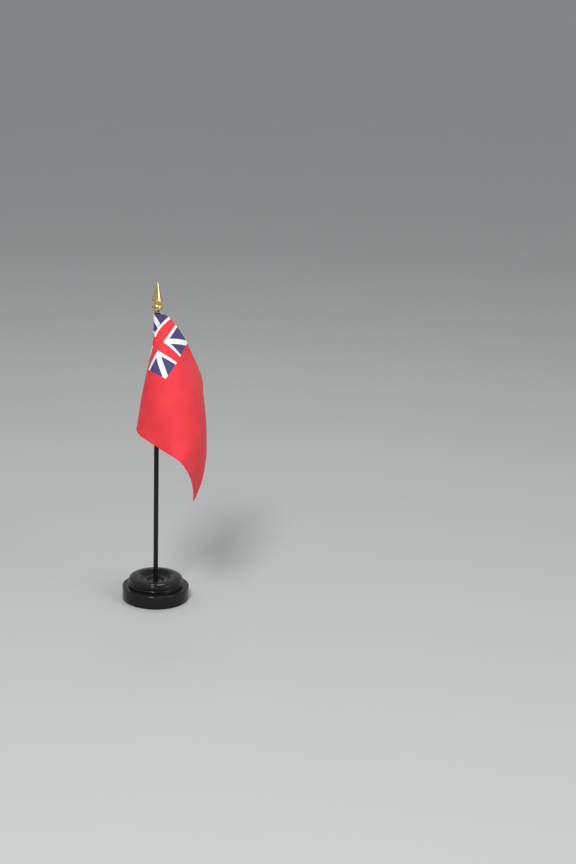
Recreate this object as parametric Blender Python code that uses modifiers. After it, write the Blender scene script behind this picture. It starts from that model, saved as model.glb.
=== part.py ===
"""Desk flag stand: a small printed flag sewn round a plastic staff that stands in a weighted-looking round base.

Units are metres and +Z is up. The origin is the middle of the base's underside, and the staff stands on +Z.
The flag hangs limp in front of the staff, on the -Y side. Its seam points to +X at the top and twists round to -X
at the foot. From there the cloth folds back on itself and falls to +X.
"""

import math

import bmesh
import bpy
from mathutils import Vector

OBJECT_NAME = "desk_flag_stand"

# Clearances
RUNNING_GAP = 0.0003  # between any two pieces that touch on the real object

# Base: one black moulding, two tiers with a beaded step, hollow underneath. Its outer radii are stepped in from
# the side, its inner ones stepped out from the socket, and its heights stacked from the lower tier up.
BASE_RADIUS = 0.03175
LOWER_TIER_HEIGHT = 0.0127
EDGE_ROUND = 0.0010
BASE_WALL = 0.0022
LEDGE_WIDTH = 0.00635  # from the lower tier's side in to the top tier's
BEAD_RISE = 0.0020  # from the lower tier up to the bead's middle
BEAD_SIZE = 0.0012  # radius of the bead's own section
BEAD_PROUD = 0.0009  # how far the bead stands out from the top tier
GROOVE_DEPTH = 0.0007
GROOVE_RISE = 0.0019  # from the bead's middle up to the groove's top
TOP_TIER_RISE = 0.0049  # from the bead's middle up to the top tier's edge
CREST_INSET = 0.0083  # from the top tier's side in to the crest
CREST_RISE = 0.0029  # from the top tier's edge up to the crest
DISH_DEPTH = 0.0043  # from the crest down to the dish's floor
DISH_MARGIN = 0.0037  # from the recess out to the foot of the dish's wall
RECESS_DEPTH = 0.0018
RECESS_MARGIN = 0.0043  # from the socket's wall out to the recess's
SOCKET_FLOOR_HEIGHT = 0.0058
POST_WALL = 0.0024
RIB_THICKNESS = 0.0012
RIB_FOOT_HEIGHT = 0.0020
RIB_BITE = 0.0007  # how far a rib runs into the wall that it stiffens
RIB_COUNT = 4
BASE_STEPS = 56

# Staff: a straight moulded rod
STAFF_RADIUS = 0.00222
STAFF_LENGTH = 0.2794
STAFF_CHAMFER = 0.0004
STAFF_STEPS = 24

# Finial: a spear on a ball, one moulding that caps the staff
SOCKET_DEPTH = 0.0074
COLLAR_WALL = 0.0005  # round the socket's mouth, and round the neck above it
COLLAR_HEIGHT = 0.0007
BALL_WALL = 0.0022  # from the socket's wall out to the ball's widest place
NECK_LENGTH = 0.0009
SPEAR_RADIUS = 0.0049
SPEAR_LENGTH = 0.0188
SPEAR_SHOULDER = 0.0020  # from the neck up to the spear's widest place
TIP_RADIUS = 0.0009
FINIAL_STEPS = 32

# Flag: one piece of printed cloth
FLAG_HOIST = 0.1016  # along the staff
FLAG_FLY = 0.1524  # from the print's edge, which lies on the sleeve, to the free edge
CLOTH_THICKNESS = 0.0004
FLAG_TOP_GAP = 0.0011  # from the sleeve's end up to the finial
SLEEVE_SLACK = 0.0005  # how much looser the sleeve is than it needs to be
SEAM_LEAD = 0.0023  # from the sleeve's round part out to the start of the seam
SEAM_ALLOWANCE = 0.0024  # width that is sewn double
SEAM_CUT = 0.0105  # from the print's edge to the seam's outer edge, along the cloth
SEAM_HEADING_TOP = math.radians(325)  # the way the cloth leaves the staff, seen from above; the sleeve is twisted
SEAM_HEADING_FOOT = math.radians(228)
SEAM_TWIST = 4  # how much more of the twist lies near the top
HEM_WIDTH = 0.0028  # from the cloth's edge in to its row of stitches
THREAD_RADIUS = 0.00015

# The hanging cloth's cage. Each row is a share of the fly and holds places on one line of the cloth, from the
# top edge to the bottom edge, as millimetres to the right, to the front and below the flag's top corner on a
# flag with a hoist of CAGE_HOIST.
CAGE_HOIST = 101.6
CAGE_HEIGHTS = (0.0, 0.13, 1 / 3, 2 / 3, 1.0)
CAGE = (
    (0.11, ((10, 7, 1), (0, 10, 13), (-5, 13, 34), (-9, 11, 68), (-10, 10, 102))),
    (0.17, ((16, 9, 6), (8, 15, 17), (-3, 23, 35), (-12, 21, 68), (-15, 19, 101))),
    (0.33, ((32, 6, 27), (27, 18, 33), (18, 34, 44), (-1, 44, 70), (-14, 44, 102))),
    (0.50, ((41, -2, 51), (40, 12, 54), (36, 32, 61), (20, 55, 81), (4, 63, 109))),
    (0.67, ((43, -9, 76), (44, 4, 79), (44, 23, 85), (37, 53, 99), (22, 77, 116))),
    (0.83, ((45, -18, 97), (46, -6, 101), (46, 13, 108), (42, 45, 121), (32, 71, 133))),
    (1.00, ((46, -28, 115), (46, -16, 121), (46, 3, 130), (42, 36, 144), (35, 59, 158))),
)
CLOTH_COLUMNS = 26  # of the hanging part
CLOTH_ROWS = 16
SLEEVE_STEPS = 12

# What follows from the sizes above
SOCKET_RADIUS = STAFF_RADIUS + RUNNING_GAP
TOP_TIER_RADIUS = BASE_RADIUS - LEDGE_WIDTH
CREST_RADIUS = TOP_TIER_RADIUS - CREST_INSET
RECESS_RADIUS = SOCKET_RADIUS + RECESS_MARGIN
DISH_RADIUS = RECESS_RADIUS + DISH_MARGIN
POST_RADIUS = SOCKET_RADIUS + POST_WALL
BEAD_Z = LOWER_TIER_HEIGHT + BEAD_RISE
TOP_EDGE_Z = BEAD_Z + TOP_TIER_RISE
CREST_Z = TOP_EDGE_Z + CREST_RISE
DISH_Z = CREST_Z - DISH_DEPTH
RECESS_Z = DISH_Z - RECESS_DEPTH
STAFF_FOOT_Z = SOCKET_FLOOR_HEIGHT + RUNNING_GAP
STAFF_TOP_Z = STAFF_FOOT_Z + STAFF_LENGTH
COLLAR_RADIUS = SOCKET_RADIUS + COLLAR_WALL
BALL_RADIUS = SOCKET_RADIUS + BALL_WALL
BALL_REACH = math.sqrt(BALL_RADIUS**2 - COLLAR_RADIUS**2)  # from the ball's middle to its collar or neck
BALL_MIDDLE = COLLAR_HEIGHT + BALL_REACH
SPEAR_FOOT = BALL_MIDDLE + BALL_REACH + NECK_LENGTH
FINIAL_Z = STAFF_TOP_Z + RUNNING_GAP - SOCKET_DEPTH
FLAG_TOP_Z = FINIAL_Z - FLAG_TOP_GAP
SLEEVE_RADIUS = STAFF_RADIUS + RUNNING_GAP + SLEEVE_SLACK + CLOTH_THICKNESS / 2
LAYER_OFFSET = (CLOTH_THICKNESS + RUNNING_GAP) / 2
SEAM_DISTANCE = SLEEVE_RADIUS + SEAM_LEAD
SEAM_END = SEAM_DISTANCE + SEAM_ALLOWANCE

BLACK_PLASTIC = ((0.012, 0.012, 0.013), 0.22, 0.0)
STAFF_PLASTIC = ((0.010, 0.010, 0.011), 0.35, 0.0)
GOLD_PLATING = ((0.62, 0.43, 0.14), 0.28, 1.0)
RED_CLOTH = ((0.72, 0.04, 0.06), 0.85, 0.0)
RED_THREAD = ((0.55, 0.03, 0.05), 0.80, 0.0)


def clear_scene():
    for thing in list(bpy.data.objects):
        bpy.data.objects.remove(thing, do_unlink=True)


def new_collection(name):
    collection = bpy.data.collections.new(name)
    bpy.context.scene.collection.children.link(collection)
    return collection


def new_material(name, look):
    color, roughness, metallic = look
    material = bpy.data.materials.new(name)
    material.use_nodes = True
    shader = material.node_tree.nodes["Principled BSDF"]
    shader.inputs["Base Color"].default_value = (*color, 1.0)
    shader.inputs["Roughness"].default_value = roughness
    shader.inputs["Metallic"].default_value = metallic
    material.diffuse_color = (*color, 1.0)
    return material


def new_piece(name, mesh, look, collection, parent=None):
    piece = bpy.data.objects.new(name, mesh)
    collection.objects.link(piece)
    mesh.materials.append(new_material(name, look))
    if parent is not None:
        piece.parent = parent
    return piece


def new_axis(name, place, collection, parent=None):
    """An empty on a joint's axis, which carries the pieces that move together."""
    axis = bpy.data.objects.new(name, None)
    axis.empty_display_size = 0.02
    axis.location = place
    collection.objects.link(axis)
    if parent is not None:
        axis.parent = parent
        axis.location = Vector(place) - parent.location
    return axis


def arc(center, radius, start, end, count):
    """Points (r, z) on an arc, from one angle to another in degrees."""
    points = []
    for step in range(count + 1):
        angle = math.radians(start + (end - start) * step / count)
        points.append((center[0] + radius * math.cos(angle), center[1] + radius * math.sin(angle)))
    return points


def turned(name, outline, steps, look, collection, parent=None):
    """A turned solid from its half outline of (r, z) points, which runs down the outer side."""
    mesh = bpy.data.meshes.new(name)
    edges = [(index, index + 1) for index in range(len(outline) - 1)]
    mesh.from_pydata([(radius, 0.0, height) for radius, height in outline], edges, [])
    piece = new_piece(name, mesh, look, collection, parent)
    screw = piece.modifiers.new("turn", "SCREW")
    screw.angle = 2 * math.pi
    screw.steps = steps
    screw.render_steps = steps
    screw.use_merge_vertices = True
    screw.merge_threshold = 0.00001
    screw.use_smooth_shade = True
    return piece


def base_outside():
    """The base's outside, from the socket's floor up and over the crest and down to the foot."""
    mouth = 0.0005
    outline = [(0.0, SOCKET_FLOOR_HEIGHT), (SOCKET_RADIUS, SOCKET_FLOOR_HEIGHT)]
    outline += [(SOCKET_RADIUS, RECESS_Z - mouth), (SOCKET_RADIUS + mouth, RECESS_Z)]
    outline += [(RECESS_RADIUS, RECESS_Z), (RECESS_RADIUS + 0.0014, DISH_Z - 0.0003)]
    # the dish rises from its floor to the crest in an S, and the shoulder falls to the tier's edge in a dome
    dish_steps = 5
    for step in range(dish_steps + 1):
        share = step / dish_steps
        radius = DISH_RADIUS + (CREST_RADIUS - DISH_RADIUS) * share
        rise = (1 - math.cos(math.pi * share)) / 2
        outline.append((radius, DISH_Z + DISH_DEPTH * rise))
    shoulder_steps = 4
    for step in range(1, shoulder_steps + 1):
        share = step / shoulder_steps
        radius = CREST_RADIUS + CREST_INSET * math.sin(math.pi / 2 * share)
        fall = 1 - math.cos(math.pi / 2 * share)
        outline.append((radius, CREST_Z - CREST_RISE * fall))
    groove = TOP_TIER_RADIUS - GROOVE_DEPTH
    groove_top = BEAD_Z + GROOVE_RISE
    outline += [(TOP_TIER_RADIUS, groove_top + 0.0005), (groove, groove_top)]
    outline += [(groove, BEAD_Z + BEAD_SIZE)]
    outline += arc((TOP_TIER_RADIUS + BEAD_PROUD - BEAD_SIZE, BEAD_Z), BEAD_SIZE, 60, -60, 4)
    outline += [(TOP_TIER_RADIUS, LOWER_TIER_HEIGHT - 0.0002), (TOP_TIER_RADIUS + BEAD_PROUD, LOWER_TIER_HEIGHT)]
    corner = (BASE_RADIUS - EDGE_ROUND, LOWER_TIER_HEIGHT - EDGE_ROUND)
    outline += arc(corner, EDGE_ROUND, 90, 0, 4)
    outline += [(BASE_RADIUS, 0.0004), (BASE_RADIUS - 0.0004, 0.0)]
    return outline


def base_ceiling():
    """The hollow under the base, from the rim's inner foot to the post, as (r, z) points."""
    rim = BASE_RADIUS - BASE_WALL
    tier = TOP_TIER_RADIUS - BASE_WALL
    slope = CREST_RADIUS - DISH_RADIUS  # width of the dish's wall, whose underside starts a little inside each end
    return [
        (rim, LOWER_TIER_HEIGHT - BASE_WALL),
        (tier, LOWER_TIER_HEIGHT - BASE_WALL),
        (tier, TOP_EDGE_Z - BASE_WALL),
        (CREST_RADIUS + 0.0024, CREST_Z - BASE_WALL - 0.0004),
        (CREST_RADIUS - slope * 0.12, CREST_Z - BASE_WALL),
        (DISH_RADIUS + slope * 0.38, DISH_Z - BASE_WALL + 0.0006),
        (DISH_RADIUS, DISH_Z - BASE_WALL),
        (RECESS_RADIUS + 0.0014, RECESS_Z - BASE_WALL),
        (POST_RADIUS, RECESS_Z - BASE_WALL),
    ]


def build_rib(index, collection):
    """One of the webs under the base, from the post out to the rim."""
    ceiling = [(radius + RIB_BITE, height + RIB_BITE) for radius, height in base_ceiling()]
    ceiling[-1] = (POST_RADIUS - RIB_BITE, ceiling[-1][1])
    outline = [(ceiling[0][0], RIB_FOOT_HEIGHT), *ceiling, (POST_RADIUS - RIB_BITE, RIB_FOOT_HEIGHT)]
    shape = bmesh.new()
    corners = [shape.verts.new((radius, -RIB_THICKNESS / 2, height)) for radius, height in outline]
    face = shape.faces.new(corners)
    grown = bmesh.ops.extrude_face_region(shape, geom=[face])
    moved = [part for part in grown["geom"] if isinstance(part, bmesh.types.BMVert)]
    bmesh.ops.translate(shape, verts=moved, vec=(0.0, RIB_THICKNESS, 0.0))
    bmesh.ops.recalc_face_normals(shape, faces=shape.faces[:])
    mesh = bpy.data.meshes.new(f"rib_{index}")
    shape.to_mesh(mesh)
    shape.free()
    rib = bpy.data.objects.new(f"rib_{index}", mesh)
    rib.rotation_euler.z = math.radians(45 + 360 * index / RIB_COUNT)
    rib.hide_render = True
    rib.display_type = "WIRE"
    collection.objects.link(rib)
    return rib


def build_base(parts, cutters):
    """The two-tier base: a hollow moulding with a closed post under the staff's socket, and webs."""
    inside = [(BASE_RADIUS - BASE_WALL, 0.0), *base_ceiling(), (POST_RADIUS, 0.0), (0.0, 0.0)]
    base = turned("base_body", base_outside() + inside, BASE_STEPS, BLACK_PLASTIC, parts)
    for index in range(RIB_COUNT):
        join = base.modifiers.new(f"rib_{index}", "BOOLEAN")
        join.operation = "UNION"
        join.object = build_rib(index, cutters)
    return base


def build_staff(parts, axis):
    """The plain round staff, chamfered at both ends."""
    inner = STAFF_RADIUS - STAFF_CHAMFER
    outline = [
        (0.0, STAFF_LENGTH),
        (inner, STAFF_LENGTH),
        (STAFF_RADIUS, STAFF_LENGTH - STAFF_CHAMFER),
        (STAFF_RADIUS, STAFF_CHAMFER),
        (inner, 0.0),
        (0.0, 0.0),
    ]
    return turned("staff", outline, STAFF_STEPS, STAFF_PLASTIC, parts, axis)


def build_finial(parts, axis):
    """The spear and ball, with a blind socket for the staff's end."""
    widest = SPEAR_FOOT + SPEAR_SHOULDER
    top = SPEAR_FOOT + SPEAR_LENGTH
    outline = [(0.0, top)]
    outline += arc((0.0, top - TIP_RADIUS), TIP_RADIUS, 60, 20, 2)
    blade_steps = 6
    for step in range(1, blade_steps + 1):
        share = step / blade_steps
        radius = TIP_RADIUS + (SPEAR_RADIUS - TIP_RADIUS) * share**0.92
        outline.append((radius, top - TIP_RADIUS - (top - TIP_RADIUS - widest) * share))
    outline += [(SPEAR_RADIUS - 0.0004, SPEAR_FOOT + 0.0007), (COLLAR_RADIUS, SPEAR_FOOT)]
    lean = math.degrees(math.acos(COLLAR_RADIUS / BALL_RADIUS))
    outline += arc((0.0, BALL_MIDDLE), BALL_RADIUS, lean, -lean, 8)
    lead_in = 0.0002
    outline += [(COLLAR_RADIUS, 0.0), (SOCKET_RADIUS + lead_in, 0.0), (SOCKET_RADIUS, lead_in)]
    outline += [(SOCKET_RADIUS, SOCKET_DEPTH), (0.0, SOCKET_DEPTH)]
    finial = turned("spear_finial", outline, FINIAL_STEPS, GOLD_PLATING, parts, axis)
    finial.location.z = FINIAL_Z - STAFF_FOOT_Z
    return finial


def through(stations, values, place):
    """The smooth curve through values at uneven stations, read at one place."""
    last = len(stations) - 1
    index = 0
    while index < last - 1 and place > stations[index + 1]:
        index += 1

    def slope(at):
        low = max(at - 1, 0)
        high = min(at + 1, last)
        return (values[high] - values[low]) / (stations[high] - stations[low])

    span = stations[index + 1] - stations[index]
    t = (place - stations[index]) / span
    start = values[index] * (2 * t**3 - 3 * t**2 + 1) + slope(index) * span * (t**3 - 2 * t**2 + t)
    end = values[index + 1] * (3 * t**2 - 2 * t**3) + slope(index + 1) * span * (t**3 - t**2)
    return start + end


def seam_heading(hoist_share):
    """The way the seam points at a share of the hoist from the top. The twist is strongest near the top."""
    return SEAM_HEADING_FOOT + (SEAM_HEADING_TOP - SEAM_HEADING_FOOT) * (1 - hoist_share) ** SEAM_TWIST


def seam_point(distance, side, hoist_share):
    """A place on the seam, seen from above: how far out, and on the free end's side (1) or the flag's (-1)."""
    heading = seam_heading(hoist_share)
    out = Vector((math.cos(heading), math.sin(heading), 0.0))
    across = Vector((-out.y, out.x, 0.0))
    return out * distance + across * side * LAYER_OFFSET


def sleeve_path(hoist_share):
    """The cloth's way round the staff, seen from above: in along the seam, round, and out again."""
    wrap = math.acos(SLEEVE_RADIUS / SEAM_DISTANCE)
    heading = seam_heading(hoist_share)
    path = [seam_point(SEAM_END, 1, hoist_share), seam_point(SEAM_DISTANCE, 1, hoist_share)]
    for step in range(SLEEVE_STEPS + 1):
        angle = heading + wrap + (2 * math.pi - 2 * wrap) * step / SLEEVE_STEPS
        path.append(Vector((SLEEVE_RADIUS * math.cos(angle), SLEEVE_RADIUS * math.sin(angle), 0.0)))
    path += [seam_point(SEAM_DISTANCE, -1, hoist_share), seam_point(SEAM_END, -1, hoist_share)]
    return path


def hanging_point(fly_share, hoist_share):
    """A place on the hanging cloth, from its share of the fly and its share of the hoist from the top."""
    stations = []
    places = []
    # the seam's own direction leads the sheet off
    for distance in (SEAM_DISTANCE, SEAM_END):
        stations.append((SEAM_CUT - SEAM_END + distance) / FLAG_FLY)
        places.append(seam_point(distance, -1, hoist_share) + Vector((0.0, 0.0, -FLAG_HOIST * hoist_share)))
    for station, line in CAGE:
        points = [Vector((right, -front, -below)) for right, front, below in line]
        place = through(CAGE_HEIGHTS, points, hoist_share) / CAGE_HOIST
        scale = Vector((FLAG_FLY / 1.5, FLAG_FLY / 1.5, FLAG_HOIST))
        stations.append(station)
        places.append(Vector((place.x * scale.x, place.y * scale.y, place.z * scale.z)))
    point = through(stations, places, fly_share)
    return point + Vector((0.0, 0.0, FLAG_TOP_Z))


def hanging_normal(fly_share, hoist_share):
    """The direction that the hanging cloth's printed front faces at a place."""
    step = 0.004
    low_u = max(fly_share - step, SEAM_CUT / FLAG_FLY)
    high_u = min(fly_share + step, 1.0)
    low_v = max(hoist_share - step, 0.0)
    high_v = min(hoist_share + step, 1.0)
    along = hanging_point(high_u, hoist_share) - hanging_point(low_u, hoist_share)
    down = hanging_point(fly_share, high_v) - hanging_point(fly_share, low_v)
    return down.cross(along).normalized()


def build_cloth(parts, axis):
    """The flag: sleeve and hanging cloth in one sheet, bent from a flat grid and given its thickness."""
    sleeve_columns = len(sleeve_path(0.0))
    columns = sleeve_columns + CLOTH_COLUMNS
    shape = bmesh.new()
    bmesh.ops.create_grid(shape, x_segments=columns - 1, y_segments=CLOTH_ROWS, size=1.0)
    for corner in shape.verts:
        column = round((corner.co.x + 1) / 2 * (columns - 1))
        hoist_share = (1 - corner.co.y) / 2
        if column < sleeve_columns:
            place = sleeve_path(hoist_share)[column] + Vector((0.0, 0.0, FLAG_TOP_Z - FLAG_HOIST * hoist_share))
        else:
            seam_share = SEAM_CUT / FLAG_FLY
            along = (column - sleeve_columns + 1) / CLOTH_COLUMNS
            place = hanging_point(seam_share + (1 - seam_share) * along, hoist_share)
        corner.co = place - axis.location
    for face in shape.faces:
        face.smooth = True
    mesh = bpy.data.meshes.new("flag_cloth")
    shape.to_mesh(mesh)
    shape.free()
    cloth = new_piece("flag_cloth", mesh, RED_CLOTH, parts, axis)
    cloth.matrix_parent_inverse.identity()
    solid = cloth.modifiers.new("thickness", "SOLIDIFY")
    solid.thickness = CLOTH_THICKNESS
    solid.offset = 0.0
    return cloth


def build_thread(name, places, parts, axis):
    """A row of stitches as one thread, lying on the cloth's printed front."""
    line = bpy.data.curves.new(name, "CURVE")
    line.dimensions = "3D"
    line.bevel_depth = THREAD_RADIUS
    line.bevel_resolution = 2
    line.use_fill_caps = True
    spline = line.splines.new("POLY")
    spline.points.add(len(places) - 1)
    for point, place in zip(spline.points, places):
        point.co = (*(place - axis.location), 1.0)
    thread = bpy.data.objects.new(name, line)
    line.materials.append(new_material(name, RED_THREAD))
    parts.objects.link(thread)
    thread.parent = axis
    return thread


def build_threads(parts, axis):
    """The seam that closes the sleeve, and the rows of stitches in the three hems."""
    lift = CLOTH_THICKNESS / 2 + RUNNING_GAP + THREAD_RADIUS
    inset_u = HEM_WIDTH / FLAG_FLY
    inset_v = HEM_WIDTH / FLAG_HOIST
    first = SEAM_CUT / FLAG_FLY + inset_u
    count = 36

    def row(start, end):
        places = []
        for step in range(count + 1):
            share = step / count
            fly_share = start[0] + (end[0] - start[0]) * share
            hoist_share = start[1] + (end[1] - start[1]) * share
            places.append(hanging_point(fly_share, hoist_share) + hanging_normal(fly_share, hoist_share) * lift)
        return places

    build_thread("top_hem_thread", row((first, inset_v), (1 - 2 * inset_u, inset_v)), parts, axis)
    build_thread("bottom_hem_thread", row((first, 1 - inset_v), (1 - 2 * inset_u, 1 - inset_v)), parts, axis)
    build_thread("fly_hem_thread", row((1 - inset_u, 2 * inset_v), (1 - inset_u, 1 - 2 * inset_v)), parts, axis)
    seam = []
    seam_inset = 0.005  # share of the hoist that the thread stops short of each end
    for step in range(count + 1):
        hoist_share = seam_inset + (1 - 2 * seam_inset) * step / count
        out = seam_point(SEAM_DISTANCE + SEAM_ALLOWANCE / 2, -1, hoist_share)
        across = (out - seam_point(SEAM_DISTANCE + SEAM_ALLOWANCE / 2, 1, hoist_share)).normalized()
        seam.append(out + across * lift + Vector((0.0, 0.0, FLAG_TOP_Z - FLAG_HOIST * hoist_share)))
    build_thread("sleeve_seam_thread", seam, parts, axis)


def main():
    clear_scene()
    parts = new_collection(OBJECT_NAME)
    cutters = new_collection("webs")
    build_base(parts, cutters)
    staff_axis = new_axis("staff_axis", (0.0, 0.0, STAFF_FOOT_Z), parts)
    build_staff(parts, staff_axis)
    build_finial(parts, staff_axis)
    flag_axis = new_axis("flag_axis", (0.0, 0.0, FLAG_TOP_Z), parts)
    build_cloth(parts, flag_axis)
    build_threads(parts, flag_axis)


main()
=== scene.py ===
"""Looks of a desk flag stand: a small printed flag on a black staff with a gilt spear, in a round black base.

Units are metres and +Z is up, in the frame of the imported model. The flag's own places are told as on a cutting
table: `across` is the way along the cloth from the sleeve to the free edge, and `below` is down from the top edge.
"""

import logging
import math
from collections.abc import Callable, Sequence
from dataclasses import dataclass, field
from enum import Enum

import bmesh
import bpy
import numpy as np
from mathutils import Matrix, Vector


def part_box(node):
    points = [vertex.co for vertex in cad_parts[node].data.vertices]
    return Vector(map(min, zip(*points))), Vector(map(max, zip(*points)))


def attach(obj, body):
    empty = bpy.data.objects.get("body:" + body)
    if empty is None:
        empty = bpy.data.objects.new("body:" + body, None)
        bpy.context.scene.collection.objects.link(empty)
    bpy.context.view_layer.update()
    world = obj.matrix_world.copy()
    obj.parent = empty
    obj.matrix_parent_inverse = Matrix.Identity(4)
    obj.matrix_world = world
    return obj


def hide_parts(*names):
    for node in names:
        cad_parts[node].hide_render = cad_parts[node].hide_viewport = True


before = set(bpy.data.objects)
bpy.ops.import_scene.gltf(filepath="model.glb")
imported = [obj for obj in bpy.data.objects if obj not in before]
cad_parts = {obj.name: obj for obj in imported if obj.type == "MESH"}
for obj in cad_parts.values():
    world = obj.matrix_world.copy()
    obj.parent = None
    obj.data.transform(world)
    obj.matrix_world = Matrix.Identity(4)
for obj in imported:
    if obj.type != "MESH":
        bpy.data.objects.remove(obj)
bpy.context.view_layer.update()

LOG = logging.getLogger("desk_flag_stand")
FLAG_TOP_GAP = 0.0011  # from the sleeve up to the finial
RUNNING_GAP = 0.0003  # between the staff and the finial's socket
Rgb = tuple[float, float, float]
Outline = list[tuple[float, float]]


class Side(Enum):
    """The two faces of the cloth."""

    FRONT = 1
    BACK = -1


# Shared tools ------------------------------------------------------------------------------------------------


class NodeTree:
    """A shader node tree that is being wired."""

    def __init__(self, tree: bpy.types.NodeTree) -> None:
        """Keeps the tree.

        Args:
            tree: the material's or the group's node tree.
        """
        self.tree = tree

    def add(self, kind: str, inputs: dict | None = None, **settings: object) -> bpy.types.Node:
        """Adds a node.

        Args:
            kind: the node's type name.
            inputs: values or sockets for its inputs, by name or place.
            settings: the node's own settings.

        Returns:
            The new node.
        """
        node = self.tree.nodes.new(kind)
        for name, value in settings.items():
            setattr(node, name, value)
        for name, value in (inputs or {}).items():
            self.feed(node.inputs[name], value)
        return node

    def feed(self, socket: bpy.types.NodeSocket, value: object) -> None:
        """Links a socket to an input, or sets its constant."""
        if isinstance(value, bpy.types.NodeSocket):
            self.tree.links.new(value, socket)
        else:
            socket.default_value = value

    def math(self, operation: str, *values: object) -> bpy.types.NodeSocket:
        """Adds a Math node and returns its result.

        Args:
            operation: the name of the operation.
            values: its numbers or sockets, in order.

        Returns:
            The result's socket.
        """
        node = self.add("ShaderNodeMath", dict(enumerate(values)), operation=operation)
        return node.outputs[0]

    def blend(self, share: object, first: object, second: object, way: str = "MIX") -> bpy.types.NodeSocket:
        """Adds a colour Mix node and returns its colour.

        Args:
            share: how much of the second colour, from 0 to 1.
            first: the colour at 0.
            second: the colour at 1.
            way: the blend type.

        Returns:
            The colour's socket.
        """
        node = self.add("ShaderNodeMix", data_type="RGBA", blend_type=way)
        for place, value in ((0, share), (6, first), (7, second)):
            if isinstance(value, tuple):
                value = (*value[:3], 1.0)
            self.feed(node.inputs[place], value)
        return node.outputs[2]

    def spread(self, value: object, low: float, high: float, to_low: float, to_high: float) -> bpy.types.NodeSocket:
        """Adds a smooth Map Range node and returns its result.

        Args:
            value: what is mapped.
            low: the value that gives to_low.
            high: the value that gives to_high.
            to_low: the result at low.
            to_high: the result at high.

        Returns:
            The result's socket.
        """
        node = self.add("ShaderNodeMapRange", interpolation_type="SMOOTHSTEP")
        for place, number in enumerate((value, low, high, to_low, to_high)):
            self.feed(node.inputs[place], number)
        return node.outputs[0]

    def noise(self, vector: object, scale: object, detail: float = 3.0, rough: float = 0.5) -> bpy.types.NodeSocket:
        """Adds a Noise texture and returns its value.

        Args:
            vector: where it is read.
            scale: its scale, in waves a metre.
            detail: how many octaves it has.
            rough: how strong the finer octaves are.

        Returns:
            The value's socket.
        """
        inputs = {"Vector": vector, "Scale": scale, "Detail": detail, "Roughness": rough}
        return self.add("ShaderNodeTexNoise", inputs).outputs[0]


def new_group(name: str, inputs: dict[str, str], outputs: Sequence[str]) -> tuple[NodeTree, dict, dict]:
    """Starts a shader node group.

    Args:
        name: the group's name.
        inputs: socket types by input name.
        outputs: the names of its value outputs.

    Returns:
        The tree, its input sockets by name and its output sockets by name.
    """
    tree = bpy.data.node_groups.new(name, "ShaderNodeTree")
    for label, kind in inputs.items():
        tree.interface.new_socket(label, in_out="INPUT", socket_type=kind)
    for label in outputs:
        tree.interface.new_socket(label, in_out="OUTPUT", socket_type="NodeSocketFloat")
    entry = tree.nodes.new("NodeGroupInput")
    leave = tree.nodes.new("NodeGroupOutput")
    return NodeTree(tree), dict(entry.outputs.items()), dict(leave.inputs.items())


def turned_mesh(name: str, outline: Outline, steps: int) -> bpy.types.Mesh:
    """A turned solid from its half outline.

    Args:
        name: the mesh's name.
        outline: points (radius, height) that run from the axis round the outside and back to the axis.
        steps: how many steps the turn takes.

    Returns:
        The closed mesh, facing out.
    """
    shape = bmesh.new()
    line = [shape.verts.new((radius, 0.0, height)) for radius, height in outline]
    for first, second in zip(line, line[1:]):
        shape.edges.new((first, second))
    geometry = shape.verts[:] + shape.edges[:]
    bmesh.ops.spin(
        shape, geom=geometry, cent=(0, 0, 0), axis=(0, 0, 1), angle=2 * math.pi, steps=steps, use_merge=True
    )
    bmesh.ops.remove_doubles(shape, verts=shape.verts[:], dist=1e-6)
    bmesh.ops.recalc_face_normals(shape, faces=shape.faces[:])
    return finished_mesh(name, shape)


def finished_mesh(name: str, shape: bmesh.types.BMesh, sharp: float = 38.0) -> bpy.types.Mesh:
    """Turns a bmesh into a smooth-shaded mesh and frees it.

    Args:
        name: the mesh's name.
        shape: the bmesh.
        sharp: edges that bend by more than this many degrees stay sharp.

    Returns:
        The mesh.
    """
    mesh = bpy.data.meshes.new(name)
    shape.to_mesh(mesh)
    shape.free()
    mesh.shade_smooth()
    mesh.set_sharp_from_angle(angle=math.radians(sharp))
    return mesh


def add_piece(mesh: bpy.types.Mesh, material: bpy.types.Material, body: str, nodes: Sequence[str]):
    """Adds a finished piece to the scene, rides it on its body and hides the CAD nodes that it replaces.

    Args:
        mesh: the piece's mesh, whose name the piece takes.
        material: its finish.
        body: the body that it rides on.
        nodes: the CAD nodes that it replaces.

    Returns:
        The new object.
    """
    piece = bpy.data.objects.new(mesh.name, mesh)
    bpy.context.scene.collection.objects.link(piece)
    mesh.materials.append(material)
    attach(piece, body)
    if nodes:
        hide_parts(*nodes)
    LOG.info("%s: %d faces, rides on %s", piece.name, len(mesh.polygons), body)
    return piece


def arc(center: tuple[float, float], radius: float, start: float, end: float, count: int) -> Outline:
    """Points on an arc of an outline.

    Args:
        center: the arc's centre (radius, height).
        radius: its own radius.
        start: the first angle in degrees, where 0 points away from the axis and 90 up.
        end: the last angle in degrees.
        count: how many steps it takes.

    Returns:
        The points in order.
    """
    angles = [math.radians(start + (end - start) * step / count) for step in range(count + 1)]
    return [(center[0] + radius * math.cos(angle), center[1] + radius * math.sin(angle)) for angle in angles]


# Shared effects ----------------------------------------------------------------------------------------------


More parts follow.
